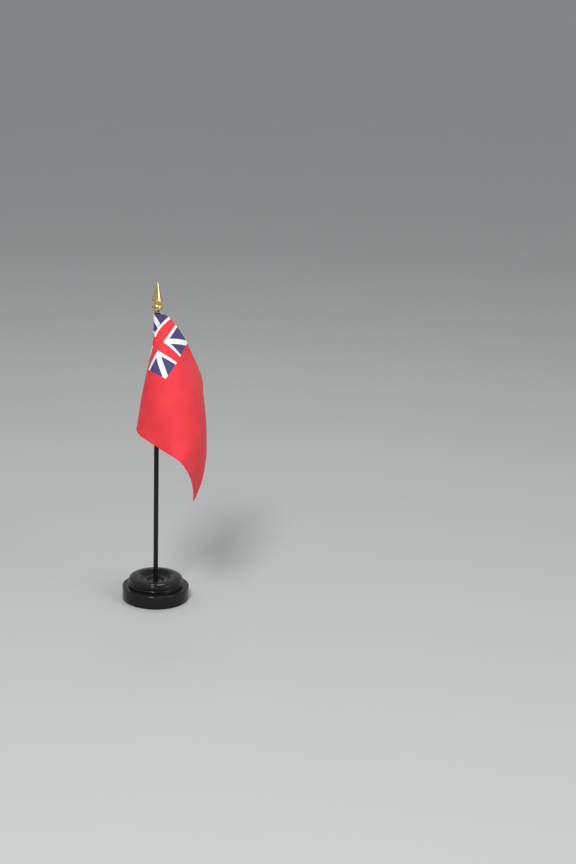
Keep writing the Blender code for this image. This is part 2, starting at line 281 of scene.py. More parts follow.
def make_scuffs() -> bpy.types.NodeTree:
    """A node group of fine handling scuffs and rubbed spots.

    Returns:
        The group, with outputs Rub (0 to 1 where the surface is rubbed) and Height.
    """
    inputs = {"Vector": "NodeSocketVector", "Scale": "NodeSocketFloat"}
    nodes, given, out = new_group("fine_scuffs", inputs, ("Rub", "Height"))
    squeeze = nodes.add("ShaderNodeVectorMath", {0: given["Vector"], 1: (1.0, 6.0, 1.0)}, operation="MULTIPLY")
    streaks = nodes.noise(squeeze.outputs[0], given["Scale"], 6.0, 0.7)
    clouds = nodes.noise(given["Vector"], nodes.math("MULTIPLY", given["Scale"], 0.12), 3.0)
    streaks = nodes.spread(streaks, 0.55, 0.80, 0.0, 1.0)
    patches = nodes.spread(clouds, 0.38, 0.66, 0.0, 1.0)
    nodes.feed(out["Rub"], nodes.math("MULTIPLY", streaks, patches))
    nodes.feed(out["Height"], nodes.noise(given["Vector"], nodes.math("MULTIPLY", given["Scale"], 0.35), 2.0))
    return nodes.tree


def make_dust() -> bpy.types.NodeTree:
    """A node group of dust that settles on faces that look up.

    Returns:
        The group, with the output Dust, from 0 to 1.
    """
    nodes, given, out = new_group("settled_dust", {"Vector": "NodeSocketVector"}, ("Dust",))
    normal = nodes.add("ShaderNodeNewGeometry").outputs["Normal"]
    upward = nodes.add("ShaderNodeSeparateXYZ", {0: normal}).outputs[2]
    specks = nodes.spread(nodes.noise(given["Vector"], 2600.0, 2.0, 0.6), 0.66, 0.74, 0.0, 1.0)
    film = nodes.spread(nodes.noise(given["Vector"], 140.0, 4.0), 0.35, 0.75, 0.05, 0.35)
    both = nodes.math("MAXIMUM", specks, film)
    nodes.feed(out["Dust"], nodes.math("MULTIPLY", nodes.spread(upward, 0.25, 0.95, 0.0, 1.0), both))
    return nodes.tree


def make_weave() -> bpy.types.NodeTree:
    """A node group of a plain weave: threads that pass over and under each other.

    Returns:
        The group, with outputs Height and Slub, a value round 0.5 that changes from thread to thread.
    """
    inputs = {"Across": "NodeSocketFloat", "Below": "NodeSocketFloat", "Pitch": "NodeSocketFloat"}
    nodes, given, out = new_group("plain_weave", inputs, ("Height", "Slub"))
    waves = []
    for way in ("Across", "Below"):
        turn = nodes.math("MULTIPLY", nodes.math("DIVIDE", given[way], given["Pitch"]), math.pi)
        waves.append((nodes.math("SINE", turn), nodes.math("COSINE", turn)))
    over = nodes.math("MULTIPLY", waves[0][0], waves[1][0])
    under = nodes.math("MULTIPLY", waves[0][1], waves[1][1])
    nodes.feed(out["Height"], nodes.math("MAXIMUM", nodes.math("ABSOLUTE", over), nodes.math("ABSOLUTE", under)))
    slubs = []
    for first, second in (("Across", "Below"), ("Below", "Across")):
        place = nodes.add("ShaderNodeCombineXYZ", {0: nodes.math("DIVIDE", given[first], given["Pitch"])})
        nodes.feed(place.inputs[1], nodes.math("MULTIPLY", given[second], 60.0))
        slubs.append(nodes.noise(place.outputs[0], 0.9, 1.0))
    nodes.feed(out["Slub"], nodes.math("MULTIPLY", nodes.math("ADD", *slubs), 0.5))
    return nodes.tree


@dataclass
class Effects:
    """The node groups that more than one finish uses."""

    scuffs: bpy.types.NodeTree = field(default_factory=make_scuffs)
    dust: bpy.types.NodeTree = field(default_factory=make_dust)
    weave: bpy.types.NodeTree = field(default_factory=make_weave)


# Finishes ----------------------------------------------------------------------------------------------------


def new_material(name: str) -> tuple[bpy.types.Material, NodeTree, bpy.types.Node]:
    """Starts a material.

    Args:
        name: the material's name.

    Returns:
        The material, its tree and its shader node.
    """
    material = bpy.data.materials.new(name)
    material.use_nodes = True
    nodes = NodeTree(material.node_tree)
    return material, nodes, material.node_tree.nodes["Principled BSDF"]


@dataclass(frozen=True)
class MouldedPlastic:
    """A dense black moulding, polished by its tool and scuffed by handling."""

    name: str
    color: Rgb
    roughness: float
    scuff: float  # how much a rubbed spot is rougher
    scuff_scale: float
    dust: float  # share of the dust's own colour on faces that look up
    ripple: float  # height of the slow unevenness of the skin, in metres
    coat: float

    def material(self, effects: Effects) -> bpy.types.Material:
        """Builds the finish.

        Args:
            effects: the shared node groups.

        Returns:
            The material.
        """
        material, nodes, shader = new_material(self.name)
        place = nodes.add("ShaderNodeTexCoord").outputs["Object"]
        scuffs = nodes.add("ShaderNodeGroup", node_tree=effects.scuffs)
        nodes.feed(scuffs.inputs["Vector"], place)
        nodes.feed(scuffs.inputs["Scale"], self.scuff_scale)
        dust = nodes.add("ShaderNodeGroup", node_tree=effects.dust)
        nodes.feed(dust.inputs["Vector"], place)
        amount = nodes.math("MULTIPLY", dust.outputs["Dust"], self.dust)
        rub = nodes.math("MULTIPLY", scuffs.outputs["Rub"], 0.25)
        worn = nodes.blend(rub, self.color, tuple(min(1.0, channel * 3 + 0.01) for channel in self.color))
        nodes.feed(shader.inputs["Base Color"], nodes.blend(amount, worn, (0.30, 0.29, 0.27)))
        rough = nodes.math("MULTIPLY_ADD", scuffs.outputs["Rub"], self.scuff, self.roughness)
        nodes.feed(shader.inputs["Roughness"], nodes.math("MULTIPLY_ADD", amount, 0.5, rough))
        bump = nodes.add("ShaderNodeBump", {"Height": scuffs.outputs["Height"], "Distance": self.ripple})
        nodes.feed(shader.inputs["Normal"], bump.outputs[0])
        shader.inputs["Coat Weight"].default_value = self.coat
        shader.inputs["Coat Roughness"].default_value = 0.06
        shader.inputs["Specular IOR Level"].default_value = 0.2
        shader.inputs["IOR"].default_value = 1.5
        return material


@dataclass(frozen=True)
class GiltPlating:
    """Bright gilt plating on plastic, rubbed a little duller in places."""

    name: str = "gilt_plating"
    color: Rgb = (0.78, 0.56, 0.24)
    tarnish: Rgb = (0.40, 0.27, 0.11)
    roughness: float = 0.17

    def material(self, effects: Effects) -> bpy.types.Material:
        """Builds the finish.

        Args:
            effects: the shared node groups.

        Returns:
            The material.
        """
        material, nodes, shader = new_material(self.name)
        place = nodes.add("ShaderNodeTexCoord").outputs["Object"]
        scuffs = nodes.add("ShaderNodeGroup", node_tree=effects.scuffs)
        nodes.feed(scuffs.inputs["Vector"], place)
        nodes.feed(scuffs.inputs["Scale"], 900.0)
        clouds = nodes.spread(nodes.noise(place, 420.0, 4.0), 0.42, 0.72, 0.0, 0.45)
        nodes.feed(shader.inputs["Base Color"], nodes.blend(clouds, self.color, self.tarnish))
        nodes.feed(shader.inputs["Roughness"], nodes.math("MULTIPLY_ADD", scuffs.outputs["Rub"], 0.22, self.roughness))
        bump = nodes.add("ShaderNodeBump", {"Height": scuffs.outputs["Height"], "Distance": 0.00004})
        nodes.feed(shader.inputs["Normal"], bump.outputs[0])
        shader.inputs["Metallic"].default_value = 1.0
        return material


@dataclass(frozen=True)
class PrintedCloth:
    """Thin woven cloth, printed on both faces with a red ground and a crossed canton.

    Sizes are in millimetres on the flat cloth.
    """

    name: str = "printed_cloth"
    red: Rgb = (0.74, 0.032, 0.047)
    blue: Rgb = (0.062, 0.050, 0.165)
    white: Rgb = (0.86, 0.86, 0.87)
    canton_width: float = 47.0
    canton_height: float = 46.0
    cross_half: float = 4.0
    border_half: float = 6.6
    saltire_half: float = 2.15
    edge_blur: float = 0.12
    sleeve_shift: float = 3.0  # how far the print is moved round on the sleeve
    shift_start: float = 8.0  # where across the cloth the shift begins to fade
    shift_end: float = 17.0  # where it has faded out
    thread_pitch: float = 0.30

    def material(self, effects: Effects) -> bpy.types.Material:
        """Builds the finish on the piece's own map, whose units are metres on the cloth.

        Args:
            effects: the shared node groups.

        Returns:
            The material.
        """
        material, nodes, shader = new_material(self.name)
        place = nodes.add("ShaderNodeUVMap", uv_map="cut").outputs[0]
        apart = nodes.add("ShaderNodeSeparateXYZ", {0: place})
        across = nodes.math("MULTIPLY", apart.outputs[0], 1000.0)
        below = nodes.math("MULTIPLY", apart.outputs[1], 1000.0)
        # on the sleeve the print is moved away from the free edge by a fitted amount, which fades out past the seam
        shift = nodes.spread(across, self.shift_start, self.shift_end, self.sleeve_shift, 0.0)
        shifted = nodes.math("ADD", across, shift)
        colour = self.print_colour(nodes, nodes.math("MAXIMUM", shifted, 0.0), below)
        weave = nodes.add("ShaderNodeGroup", node_tree=effects.weave)
        for name, value in (("Across", across), ("Below", below), ("Pitch", self.thread_pitch)):
            nodes.feed(weave.inputs[name], value)
        slub = nodes.spread(weave.outputs["Slub"], 0.30, 0.70, 0.90, 1.07)
        clouds = nodes.spread(nodes.noise(place, 90.0, 4.0), 0.30, 0.70, 0.95, 1.04)
        shade = nodes.math("MULTIPLY", slub, clouds)
        # painted shade: the colour is darkened in the low places between the threads, where the weave's height is
        # small
        thread_gap_shade = nodes.spread(weave.outputs["Height"], 0.45, 0.95, 0.84, 1.0)
        shade = nodes.math("MULTIPLY", shade, thread_gap_shade)
        tone = nodes.add("ShaderNodeCombineXYZ", {0: shade, 1: shade, 2: shade}).outputs[0]
        nodes.feed(shader.inputs["Base Color"], nodes.blend(1.0, colour, tone, "MULTIPLY"))
        nodes.feed(shader.inputs["Roughness"], nodes.spread(weave.outputs["Slub"], 0.3, 0.7, 0.62, 0.78))
        bump = nodes.add("ShaderNodeBump", {"Height": weave.outputs["Height"], "Distance": 0.00003, "Strength": 0.5})
        nodes.feed(shader.inputs["Normal"], bump.outputs[0])
        shader.inputs["Sheen Weight"].default_value = 0.06
        shader.inputs["Sheen Roughness"].default_value = 0.4
        shader.inputs["Specular IOR Level"].default_value = 0.3
        return material

    def print_colour(self, nodes: NodeTree, across: object, below: object) -> bpy.types.NodeSocket:
        """Draws the print.

        Args:
            nodes: the material's tree.
            across: millimetres from the sleeve.
            below: millimetres from the top edge.

        Returns:
            The colour's socket.
        """
        blur = self.edge_blur
        from_upright = nodes.math("ABSOLUTE", nodes.math("SUBTRACT", across, self.canton_width / 2))
        from_level = nodes.math("ABSOLUTE", nodes.math("SUBTRACT", below, self.canton_height / 2))
        from_cross = nodes.math("MINIMUM", from_upright, from_level)
        # both diagonals at once: the cloth's quarters are mirror images of each other
        steep = self.canton_height / self.canton_width
        off = nodes.math("SUBTRACT", nodes.math("MULTIPLY", from_upright, steep), from_level)
        from_diagonal = nodes.math("MULTIPLY", nodes.math("ABSOLUTE", off), 1 / math.hypot(1.0, steep))
        colour = self.layer(nodes, from_diagonal, self.saltire_half, self.blue, self.white)
        colour = self.layer(nodes, from_cross, self.border_half, colour, self.white)
        colour = self.layer(nodes, from_cross, self.cross_half, colour, self.red)
        past_side = nodes.spread(across, self.canton_width - blur, self.canton_width + blur, 0.0, 1.0)
        past_foot = nodes.spread(below, self.canton_height - blur, self.canton_height + blur, 0.0, 1.0)
        return nodes.blend(nodes.math("MAXIMUM", past_side, past_foot), colour, self.red)

    def layer(self, nodes: NodeTree, distance: object, half: float, under: object, ink: object) -> object:
        """Lays a band of ink over what is printed.

        Args:
            nodes: the material's tree.
            distance: how far a place is from the band's middle.
            half: the band's half width.
            under: the colour beside the band.
            ink: the band's colour.

        Returns:
            The colour's socket.
        """
        share = nodes.spread(distance, half - self.edge_blur, half + self.edge_blur, 1.0, 0.0)
        return nodes.blend(share, under, ink)


@dataclass(frozen=True)
class SewingThread:
    """Spun sewing thread, twisted from two plies."""

    name: str = "sewing_thread"
    color: Rgb = (0.62, 0.022, 0.038)
    ply_pitch: float = 0.0006

    def material(self) -> bpy.types.Material:
        """Builds the finish on the stitches' object coordinates.

        Returns:
            The material.
        """
        material, nodes, shader = new_material(self.name)
        place = nodes.add("ShaderNodeTexCoord").outputs["Object"]
        bands = nodes.add("ShaderNodeTexWave", {"Vector": place, "Scale": 0.3 / self.ply_pitch, "Distortion": 0.6})
        bands.bands_direction = "DIAGONAL"
        fuzz = nodes.noise(place, 9000.0, 2.0)
        shade = nodes.spread(bands.outputs["Fac"], 0.1, 0.9, 0.0, 0.5)
        dark = tuple(channel * 0.45 for channel in self.color)
        nodes.feed(shader.inputs["Base Color"], nodes.blend(shade, self.color, dark))
        nodes.feed(shader.inputs["Roughness"], nodes.spread(fuzz, 0.3, 0.7, 0.55, 0.8))
        bump = nodes.add("ShaderNodeBump", {"Height": bands.outputs["Fac"], "Distance": 0.00004})
        nodes.feed(shader.inputs["Normal"], bump.outputs[0])
        shader.inputs["Sheen Weight"].default_value = 0.3
        return material


@dataclass(frozen=True)
class StudioPaper:
    """The plain pale paper that the stand is set on."""

    name: str = "studio_paper"
    color: Rgb = (0.42, 0.43, 0.42)

    def material(self) -> bpy.types.Material:
        """Builds the finish.

        Returns:
            The material.
        """
        material, nodes, shader = new_material(self.name)
        place = nodes.add("ShaderNodeTexCoord").outputs["Object"]
        shade = nodes.spread(nodes.noise(place, 6.0, 4.0), 0.3, 0.7, 0.0, 0.06)
        nodes.feed(shader.inputs["Base Color"], nodes.blend(shade, self.color, (0.5, 0.5, 0.5)))
        shader.inputs["Roughness"].default_value = 0.75
        shader.inputs["Specular IOR Level"].default_value = 0.25
        return material


# The base ----------------------------------------------------------------------------------------------------


@dataclass
class RoundBase:
    """The two-tier moulded base, hollow underneath, with a post round the staff's socket and four webs."""

    radius: float
    height: float
    lower_tier: float = 0.0127
    corner_round: float = 0.0010
    wall: float = 0.0022
    ledge: float = 0.00635  # how far the top tier stands in from the lower tier's side
    bead_proud: float = 0.0009
    bead_rise: float = 0.0021  # the bead's middle over the lower tier
    bead_round: float = 0.0012
    edge_fall: float = 0.0029  # from the crest down to the top tier's edge
    crest_radius: float = 0.0171
    dish_radius: float = 0.0105
    dish_fall: float = 0.0043
    recess_radius: float = 0.0068
    recess_fall: float = 0.0018
    socket_radius: float = 0.00252
    socket_floor: float = 0.0058
    post_radius: float = 0.0049
    web_thickness: float = 0.0012
    web_lift: float = 0.0020
    web_bite: float = 0.0007
    web_count: int = 4
    steps: int = 144

    @property
    def tier_radius(self) -> float:
        """The top tier's radius."""
        return self.radius - self.ledge

    @property
    def edge_height(self) -> float:
        """The height of the top tier's edge."""
        return self.height - self.edge_fall

    @property
    def dish_height(self) -> float:
        """The height of the dish's floor."""
        return self.height - self.dish_fall

    @property
    def recess_height(self) -> float:
        """The height of the recess round the socket."""
        return self.dish_height - self.recess_fall

    def top(self) -> Outline:
        """The outline from the socket's floor over the dish and the crest to the top tier's edge."""
        mouth = 0.0004
        points = [(0.0, self.socket_floor), (self.socket_radius, self.socket_floor)]
        points += arc((self.socket_radius + mouth, self.recess_height - mouth), mouth, 180, 90, 4)
        corner = 0.0005
        points += arc((self.recess_radius - corner, self.recess_height + corner), corner, -90, -20, 3)
        lip = 0.0006
        points += arc((self.recess_radius + 0.0010 + lip, self.dish_height - lip), lip, 165, 90, 4)
        dish_steps = 12
        for step in range(1, dish_steps + 1):
            share = step / dish_steps
            rise = (1 - math.cos(math.pi * share)) / 2
            radius = self.dish_radius + (self.crest_radius - self.dish_radius) * share
            points.append((radius, self.dish_height + self.dish_fall * rise))
        shoulder_steps = 10
        for step in range(1, shoulder_steps + 1):
            turn = math.pi / 2 * step / shoulder_steps
            radius = self.crest_radius + (self.tier_radius - self.crest_radius) * math.sin(turn)
            points.append((radius, self.height - self.edge_fall * (1 - math.cos(turn))))
        return points

    def side(self) -> Outline:
        """The outline from the top tier's edge over the bead and the ledge down to the foot."""
        bead_middle = self.lower_tier + self.bead_rise
        groove = self.tier_radius - 0.0007
        corner = 0.0005
        upper = bead_middle + self.bead_round + 0.0007
        points = [(self.tier_radius, upper + 2 * corner)]
        points += arc((self.tier_radius - corner, upper + corner), corner, 0, -80, 4)
        points += arc((groove + 0.0003, upper - 0.0003), 0.0003, 100, 180, 3)
        reach = self.tier_radius + self.bead_proud - self.bead_round
        points += arc((reach, bead_middle), self.bead_round, 62, -62, 10)
        points += arc((groove + 0.0003, self.lower_tier + 0.0003), 0.0003, 180, 270, 3)
        fillet = self.corner_round
        points += arc((self.radius - fillet, self.lower_tier - fillet), fillet, 90, 0, 8)
        foot = 0.0005
        points += arc((self.radius - foot, foot), foot, 0, -90, 4)
        return points

    def ceiling(self) -> Outline:
        """The hollow's outline, from the rim's inner corner to the post."""
        rim = self.radius - self.wall
        tier = self.tier_radius - self.wall
        points = arc((rim - 0.0006, self.lower_tier - self.wall - 0.0006), 0.0006, 0, 90, 4)
        points += arc((tier + 0.0004, self.lower_tier - self.wall + 0.0004), 0.0004, 270, 180, 3)
        points += arc((tier - 0.0012, self.edge_height - self.wall - 0.0006), 0.0012, 0, 55, 4)
        points += [(self.crest_radius + 0.0024, self.height - self.wall - 0.0004)]
        points += [(self.crest_radius - 0.0008, self.height - self.wall)]
        points += [(self.dish_radius + 0.0025, self.dish_height - self.wall + 0.0006)]
        points += [(self.dish_radius, self.dish_height - self.wall)]
        points += [(self.recess_radius + 0.0014, self.recess_height - self.wall)]
        points += [(self.post_radius, self.recess_height - self.wall)]
        return points

    def outline(self) -> Outline:
        """The whole half outline, from the socket's floor round the outside to the middle of the post's foot."""
        rim = self.radius - self.wall
        foot = [(rim + 0.0003, 0.0), (rim, 0.0003)]
        post = [(self.post_radius, 0.0004), (self.post_radius - 0.0004, 0.0), (0.0, 0.0)]
        return self.top() + self.side() + foot + self.ceiling() + post

    def add_web(self, shape: bmesh.types.BMesh, index: int) -> None:
        """Adds one web under the base.

        Args:
            shape: the base's bmesh.
            index: which of the webs it is.
        """
        under = [(radius + self.web_bite, height + self.web_bite) for radius, height in self.ceiling()]
        under[-1] = (self.post_radius - self.web_bite, under[-1][1])
        loop = [(under[0][0], self.web_lift), *under, (self.post_radius - self.web_bite, self.web_lift)]
        corners = [shape.verts.new((radius, -self.web_thickness / 2, height)) for radius, height in loop]
        face = shape.faces.new(corners)
        grown = bmesh.ops.extrude_face_region(shape, geom=[face])
        moved = [part for part in grown["geom"] if isinstance(part, bmesh.types.BMVert)]
        bmesh.ops.translate(shape, verts=moved, vec=(0.0, self.web_thickness, 0.0))
        turn = Matrix.Rotation(math.radians(45 + 360 * index / self.web_count), 3, "Z")
        bmesh.ops.rotate(shape, verts=corners + moved, cent=(0, 0, 0), matrix=turn)

    def build(self, material: bpy.types.Material) -> bpy.types.Object:
        """Builds the moulding.

        Args:
            material: its finish.

        Returns:
            The piece.
        """
        mesh = turned_mesh("turned_base", self.outline(), self.steps)
        shape = bmesh.new()
        for index in range(self.web_count):
            self.add_web(shape, index)
        bmesh.ops.recalc_face_normals(shape, faces=shape.faces[:])
        shape.from_mesh(mesh)
        bpy.data.meshes.remove(mesh)
        return add_piece(finished_mesh("base_moulding", shape), material, "base", ["base_body"])


# The staff and its finial ------------------------------------------------------------------------------------


@dataclass
class Staff:
    """The plain round staff."""

    foot: float
    top: float
    radius: float
    end_round: float = 0.0004
    steps: int = 48

    def build(self, material: bpy.types.Material) -> bpy.types.Object:
        """Builds the staff.

        Args:
            material: its finish.

        Returns:
            The piece.
        """
        inner = self.radius - self.end_round
        points = [(0.0, self.top)]
        points += arc((inner, self.top - self.end_round), self.end_round, 90, 0, 4)
        points += arc((inner, self.foot + self.end_round), self.end_round, 0, -90, 4)
        points += [(0.0, self.foot)]
        mesh = turned_mesh("staff_rod", points, self.steps)
        return add_piece(mesh, material, "staff", ["staff"])


@dataclass
class SpearFinial:
    """The spear on a ball that caps the staff."""

    foot: float
    top: float
    socket_radius: float
    spear_radius: float
    ball_wall: float = 0.0022
    collar_wall: float = 0.0005
    collar_height: float = 0.0007
    neck_length: float = 0.0009
    socket_depth: float = 0.0074
    tip_radius: float = 0.0009
    shoulder: float = 0.0020  # from the neck up to the spear's widest place
    steps: int = 64

    @property
    def ball_radius(self) -> float:
        """The ball's radius."""
        return self.socket_radius + self.ball_wall

    @property
    def collar_radius(self) -> float:
        """The radius of the collar under the ball and of the neck over it."""
        return self.socket_radius + self.collar_wall

    @property
    def ball_reach(self) -> float:
        """How far the ball goes up and down from its middle before it meets its neck and collar."""
        return math.sqrt(self.ball_radius**2 - self.collar_radius**2)

    @property
    def spear_foot(self) -> float:
        """The height where the neck ends and the spear begins."""
        return self.foot + self.collar_height + 2 * self.ball_reach + self.neck_length

    def blade(self) -> Outline:
        """The spear's outline from its tip down to the neck."""
        widest = self.spear_foot + self.shoulder
        rounding = 0.0007
        tip_middle = self.top - self.tip_radius
        points = [(0.0, self.top)]
        points += arc((0.0, tip_middle), self.tip_radius, 75, 12, 5)
        reach = self.spear_radius - rounding
        blade_steps = 14
        for step in range(1, blade_steps + 1):
            share = step / blade_steps
            # nearly straight sides that swell near the tip and flare a little at the widest place
            swell = 0.00035 * math.sin(math.pi * share) * (1 - share) + 0.0002 * share**6
            radius = self.tip_radius + (reach - self.tip_radius) * share + swell
            points.append((radius, tip_middle - (tip_middle - widest - rounding * 0.4) * share))
        points += arc((reach, widest - rounding * 0.3), rounding, 30, -60, 6)
        fillet = 0.0005
        points += arc((self.collar_radius + fillet, self.spear_foot + fillet * 0.6), fillet, 120, 180, 4)
        return points

    def build(self, material: bpy.types.Material) -> bpy.types.Object:
        """Builds the finial.

        Args:
            material: its finish.

        Returns:
            The piece.
        """
        points = self.blade()
        middle = (0.0, self.foot + self.collar_height + self.ball_reach)
        lean = math.degrees(math.acos(self.collar_radius / self.ball_radius))
        points += arc(middle, self.ball_radius, lean, -lean, 22)
        points += [(self.collar_radius, self.foot + 0.0001), (self.collar_radius - 0.0001, self.foot)]
        points += [(self.socket_radius + 0.0002, self.foot), (self.socket_radius, self.foot + 0.0002)]
        points += [(self.socket_radius, self.foot + self.socket_depth), (0.0, self.foot + self.socket_depth)]
        mesh = turned_mesh("gilt_spear", points, self.steps)
        return add_piece(mesh, material, "staff", ["spear_finial"])


# The flag ----------------------------------------------------------------------------------------------------

CLOTH_SETTINGS = {
    "quality": 14,
    "mass": 0.0004,
    "tension_stiffness": 60.0,
    "compression_stiffness": 60.0,
    "shear_stiffness": 30.0,
    "bending_stiffness": 0.02,
    "tension_damping": 10.0,
    "compression_damping": 10.0,
    "shear_damping": 10.0,
    "bending_damping": 0.5,
    "air_damping": 3.0,
    "vertex_group_mass": "held",
    "pin_stiffness": 1.0,
}


def cubic_shares(place: np.ndarray) -> np.ndarray:
    """The shares of the four knots round a place on a smooth curve.

    Args:
        place: how far each place is from its second knot to its third, from 0 to 1.

    Returns:
        Four shares for each place.
    """
    first = (-(place**3) + 2 * place**2 - place) / 2
    second = (3 * place**3 - 5 * place**2 + 2) / 2
    third = (-3 * place**3 + 4 * place**2 + place) / 2
    fourth = (place**3 - place**2) / 2
    return np.stack([first, second, third, fourth], axis=-1)


def padded_ends(knots: np.ndarray) -> np.ndarray:
    """Adds one knot past each end of the first axis, straight on."""
    return np.concatenate([2 * knots[:1] - knots[1:2], knots, 2 * knots[-1:] - knots[-2:-1]])


def read_grid(grid: np.ndarray, first: np.ndarray, second: np.ndarray) -> np.ndarray:
    """Reads smooth places off a grid of points.

    Args:
        grid: points by column and row.
        first: places along the columns, counted in columns.
        second: places along the rows, counted in rows.

    Returns:
        One point for each pair of places.
    """
    wide = padded_ends(grid)
    wide = padded_ends(wide.transpose(1, 0, 2)).transpose(1, 0, 2)
    column = np.clip(np.floor(first).astype(int), 0, grid.shape[0] - 2)
    row = np.clip(np.floor(second).astype(int), 0, grid.shape[1] - 2)
    across = cubic_shares(first - column)
    down = cubic_shares(second - row)
    result = np.zeros((len(first), 3))
    for i in range(4):
        for j in range(4):
            result += (across[:, i] * down[:, j])[:, None] * wide[column + i, row + j]
    return result


@dataclass
class Drape:
    """How the flag hangs: a loose sleeve round the staff and one sheet that falls from its seam.

    The sheet is laid on a coarse cage. A cloth simulation, held at the seam, then lets it hang for some frames.
    """

    top: float  # height of the flag's top edge
    hoist: float = 0.1016
    fly: float = 0.1524  # from the print's edge, which lies on the sleeve, to the free edge
    sleeve_radius: float = 0.00315
    layer_offset: float = 0.00022
    seam_out: float = 0.0055  # from the staff's axis to the start of the seam
    seam_width: float = 0.0024
    seam_end: float = 0.0105  # the seam's outer edge, across the cloth from the print's edge
    heading_top: float = 325.0  # the way the seam points at the flag's top, in degrees seen from above
    heading_foot: float = 228.0
    twist: float = 4.0  # how much more of the twist lies near the top
    tail_trim: float = 0.0009  # how far the tail stops short of the seam's outer edge
    tail_stand_off: float = 3.5  # how many layer offsets the tail's end lies behind, clear of the hung sheet
    columns: int = 71
    rows: int = 49
    hang_frames: int = 40
    grid: np.ndarray | None = None

    # Places on the cloth by share of the fly, from the top edge to the bottom edge, in millimetres to the right,
    # to the front and below the top corner. They began as a numerical fit's places, rounded to whole
    # millimetres, and many were then moved.
    cage_heights: tuple[float, ...] = (0.0, 0.13, 1 / 3, 2 / 3, 1.0)
    cage: tuple = (
        (0.11, ((10, 7, 1), (0, 10, 13), (-5, 13, 34), (-9, 11, 68), (-10, 10, 102))),
        (0.17, ((16, 9, 6), (8, 15, 17), (-3, 23, 35), (-12, 21, 68), (-15, 19, 101))),
        (0.33, ((32, 6, 27), (27, 18, 33), (18, 34, 44), (-1, 44, 70), (-14, 44, 102))),
        (0.50, ((41, -2, 51), (40, 12, 54), (36, 32, 61), (20, 55, 81), (4, 63, 109))),
        (0.67, ((43, -9, 76), (44, 4, 79), (44, 23, 85), (37, 53, 99), (22, 77, 116))),
        (0.83, ((45, -18, 97), (46, -6, 101), (46, 13, 108), (42, 45, 121), (32, 71, 133))),
        (1.00, ((46, -28, 115), (46, -16, 121), (46, 3, 130), (42, 36, 144), (35, 59, 158))),
    )

    @property
    def seam_start(self) -> float:
        """The seam's inner edge, across the cloth."""
        return self.seam_end - self.seam_width

    @property
    def sleeve_length(self) -> float:
        """The cloth's length from the tail's end round the staff to the seam's start on the flag's side."""
        lean = math.sqrt(self.seam_out**2 - self.sleeve_radius**2)
        wrap = math.acos(self.sleeve_radius / self.seam_out)
        return self.seam_width + 2 * lean + self.sleeve_radius * (2 * math.pi - 2 * wrap)

    @property
    def tail(self) -> float:
        """The place across the cloth where the sleeve's tail ends."""
        return self.seam_start - self.sleeve_length + self.tail_trim

    def sleeve_plan(self) -> np.ndarray:
        """The sleeve's path seen from above, with the seam pointing along +X.

        Returns:
            Points from the tail's end round the staff to the seam's end on the flag's side.
        """
        wrap = math.acos(self.sleeve_radius / self.seam_out)
        angles = np.linspace(wrap, 2 * math.pi - wrap, 49)
        ring = np.stack([np.cos(angles), np.sin(angles)], axis=-1) * self.sleeve_radius
        offset = self.layer_offset
        edge = self.seam_out + self.seam_width
        start = [(edge, self.tail_stand_off * offset), (self.seam_out, offset)]
        end = [(self.seam_out, -offset), (edge, -offset)]
        return np.concatenate([start, ring, end])

    def sleeve_points(self, across: np.ndarray, below: np.ndarray) -> np.ndarray:
        """Places on the sleeve.

        Args:
            across: places across the cloth.
            below: depths under the top edge.

        Returns:
            One point for each place.
        """
        plan = self.sleeve_plan()
        steps = np.linalg.norm(np.diff(plan, axis=0), axis=1)
        length = np.concatenate([[0.0], np.cumsum(steps)])
        along = length[-1] - (self.seam_end - across)
        out = np.interp(along, length, plan[:, 0])
        aside = np.interp(along, length, plan[:, 1])
        twist = (1 - below / self.hoist) ** self.twist
        heading = np.radians(self.heading_foot + (self.heading_top - self.heading_foot) * twist)
        right = out * np.cos(heading) - aside * np.sin(heading)
        back = out * np.sin(heading) + aside * np.cos(heading)
        return np.stack([right, back, self.top - below], axis=-1)

    def laid_points(self, across: np.ndarray, below: np.ndarray) -> np.ndarray:
        """Places on the sheet as it is laid on its cage, before it hangs.

        Args:
            across: places across the cloth, past the seam's start.
            below: depths under the top edge.

        Returns:
            One point for each place.
        """
        heights = np.array(self.cage_heights) * self.hoist
        count = len(heights)
        seam = [self.sleeve_points(np.full(count, place), heights) for place in (self.seam_start, self.seam_end)]
        lines = [np.array(line) * (0.001, -0.001, -0.001) + (0.0, 0.0, self.top) for _, line in self.cage]
        stations = [self.seam_start, self.seam_end] + [share * self.fly for share, _ in self.cage]
        lengthwise = self.uneven(np.array(stations), np.stack(seam + lines)[:, None], across)
        return self.uneven(heights, lengthwise.transpose(1, 0, 2), below)

    @staticmethod
    def uneven(stations: np.ndarray, knots: np.ndarray, places: np.ndarray) -> np.ndarray:
        """Reads smooth curves through knots at uneven stations.

        Args:
            stations: where the knots are.
            knots: their values, by station and by place, or the same for all places.
            places: where each curve is read.

        Returns:
            The values at the places.
        """
        index = np.clip(np.searchsorted(stations, places, side="right") - 1, 0, len(stations) - 2)
        shape = (len(places),) + (1,) * (knots.ndim - 2)
        span = (stations[index + 1] - stations[index]).reshape(shape)
        t = (places - stations[index]).reshape(shape) / span
        slopes = np.gradient(knots, stations, axis=0)
        lane = np.arange(len(places)) if knots.shape[1] > 1 else 0
        start = knots[index, lane] * (2 * t**3 - 3 * t**2 + 1) + slopes[index, lane] * span * (t**3 - 2 * t**2 + t)
        end = knots[index + 1, lane] * (3 * t**2 - 2 * t**3) + slopes[index + 1, lane] * span * (t**3 - t**2)
        return start + end

